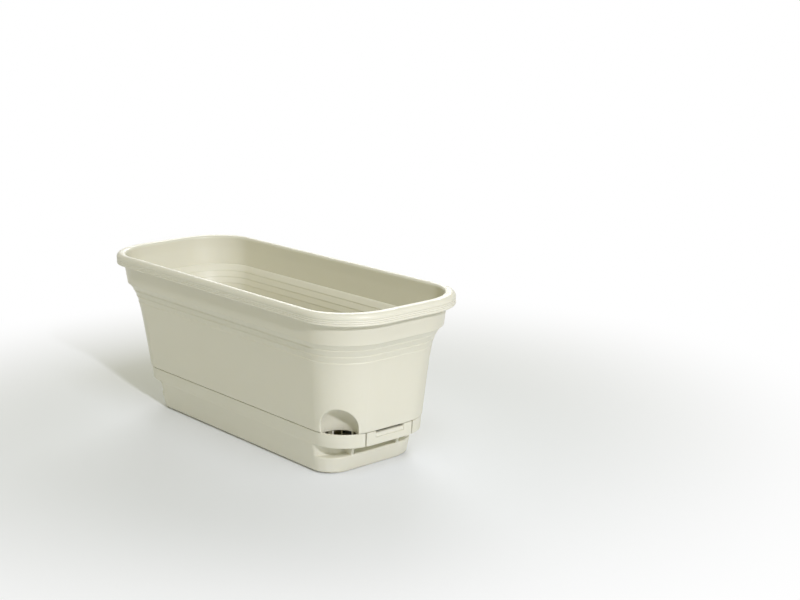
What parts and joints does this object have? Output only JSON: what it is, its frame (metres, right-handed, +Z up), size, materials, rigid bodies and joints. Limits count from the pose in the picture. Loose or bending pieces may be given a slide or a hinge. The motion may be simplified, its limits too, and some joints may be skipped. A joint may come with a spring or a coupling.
{
  "type": "window box planter",
  "caption": "Self-watering window box planter: a flared trough with a rolled rim, latched onto a water reservoir tray and filled through a niche in one corner.",
  "frame": {"origin": "middle of the footprint, on the ground", "axes": "+X along the planter towards the end with the filler niche, +Z up"},
  "size_m": [0.43, 0.16, 0.165],
  "materials": {
    "shell": "satin",
    "insert": "satin"
  },
  "bodies": {
    "tray": {"reservoir_tray": "shell"},
    "box": {"planter_box": "shell"},
    "right_tab": {"latch_tab_right": "shell"},
    "left_tab": {"latch_tab_left": "shell"},
    "platform": {"soil_platform": "insert"},
    "right_cup": {"wick_cup_right": "insert"},
    "left_cup": {"wick_cup_left": "insert"}
  },
  "joints": [
    {"name": "box_lift", "type": "slide", "parent": "tray", "child": "box", "axis": [0, 0, 1], "range_m": [0, 0.06]},
    {"name": "right_tab_flex", "type": "hinge", "parent": "tray", "child": "right_tab", "pos_m": [0.1752, 0, 0.0304], "axis": [0, 1, 0], "range_deg": [0, 10], "stiffness_Nm_per_rad": 0.4},
    {"name": "left_tab_flex", "type": "hinge", "parent": "tray", "child": "left_tab", "pos_m": [-0.1752, 0, 0.0304], "axis": [0, -1, 0], "range_deg": [0, 10], "stiffness_Nm_per_rad": 0.4},
    {"name": "platform_lift", "type": "slide", "parent": "box", "child": "platform", "axis": [0, 0, 1], "range_m": [0, 0.12]},
    {"name": "right_cup_lift", "type": "slide", "parent": "platform", "child": "right_cup", "axis": [0, 0, 1], "range_m": [0, 0.055]},
    {"name": "left_cup_lift", "type": "slide", "parent": "platform", "child": "left_cup", "axis": [0, 0, 1], "range_m": [0, 0.055]}
  ]
}
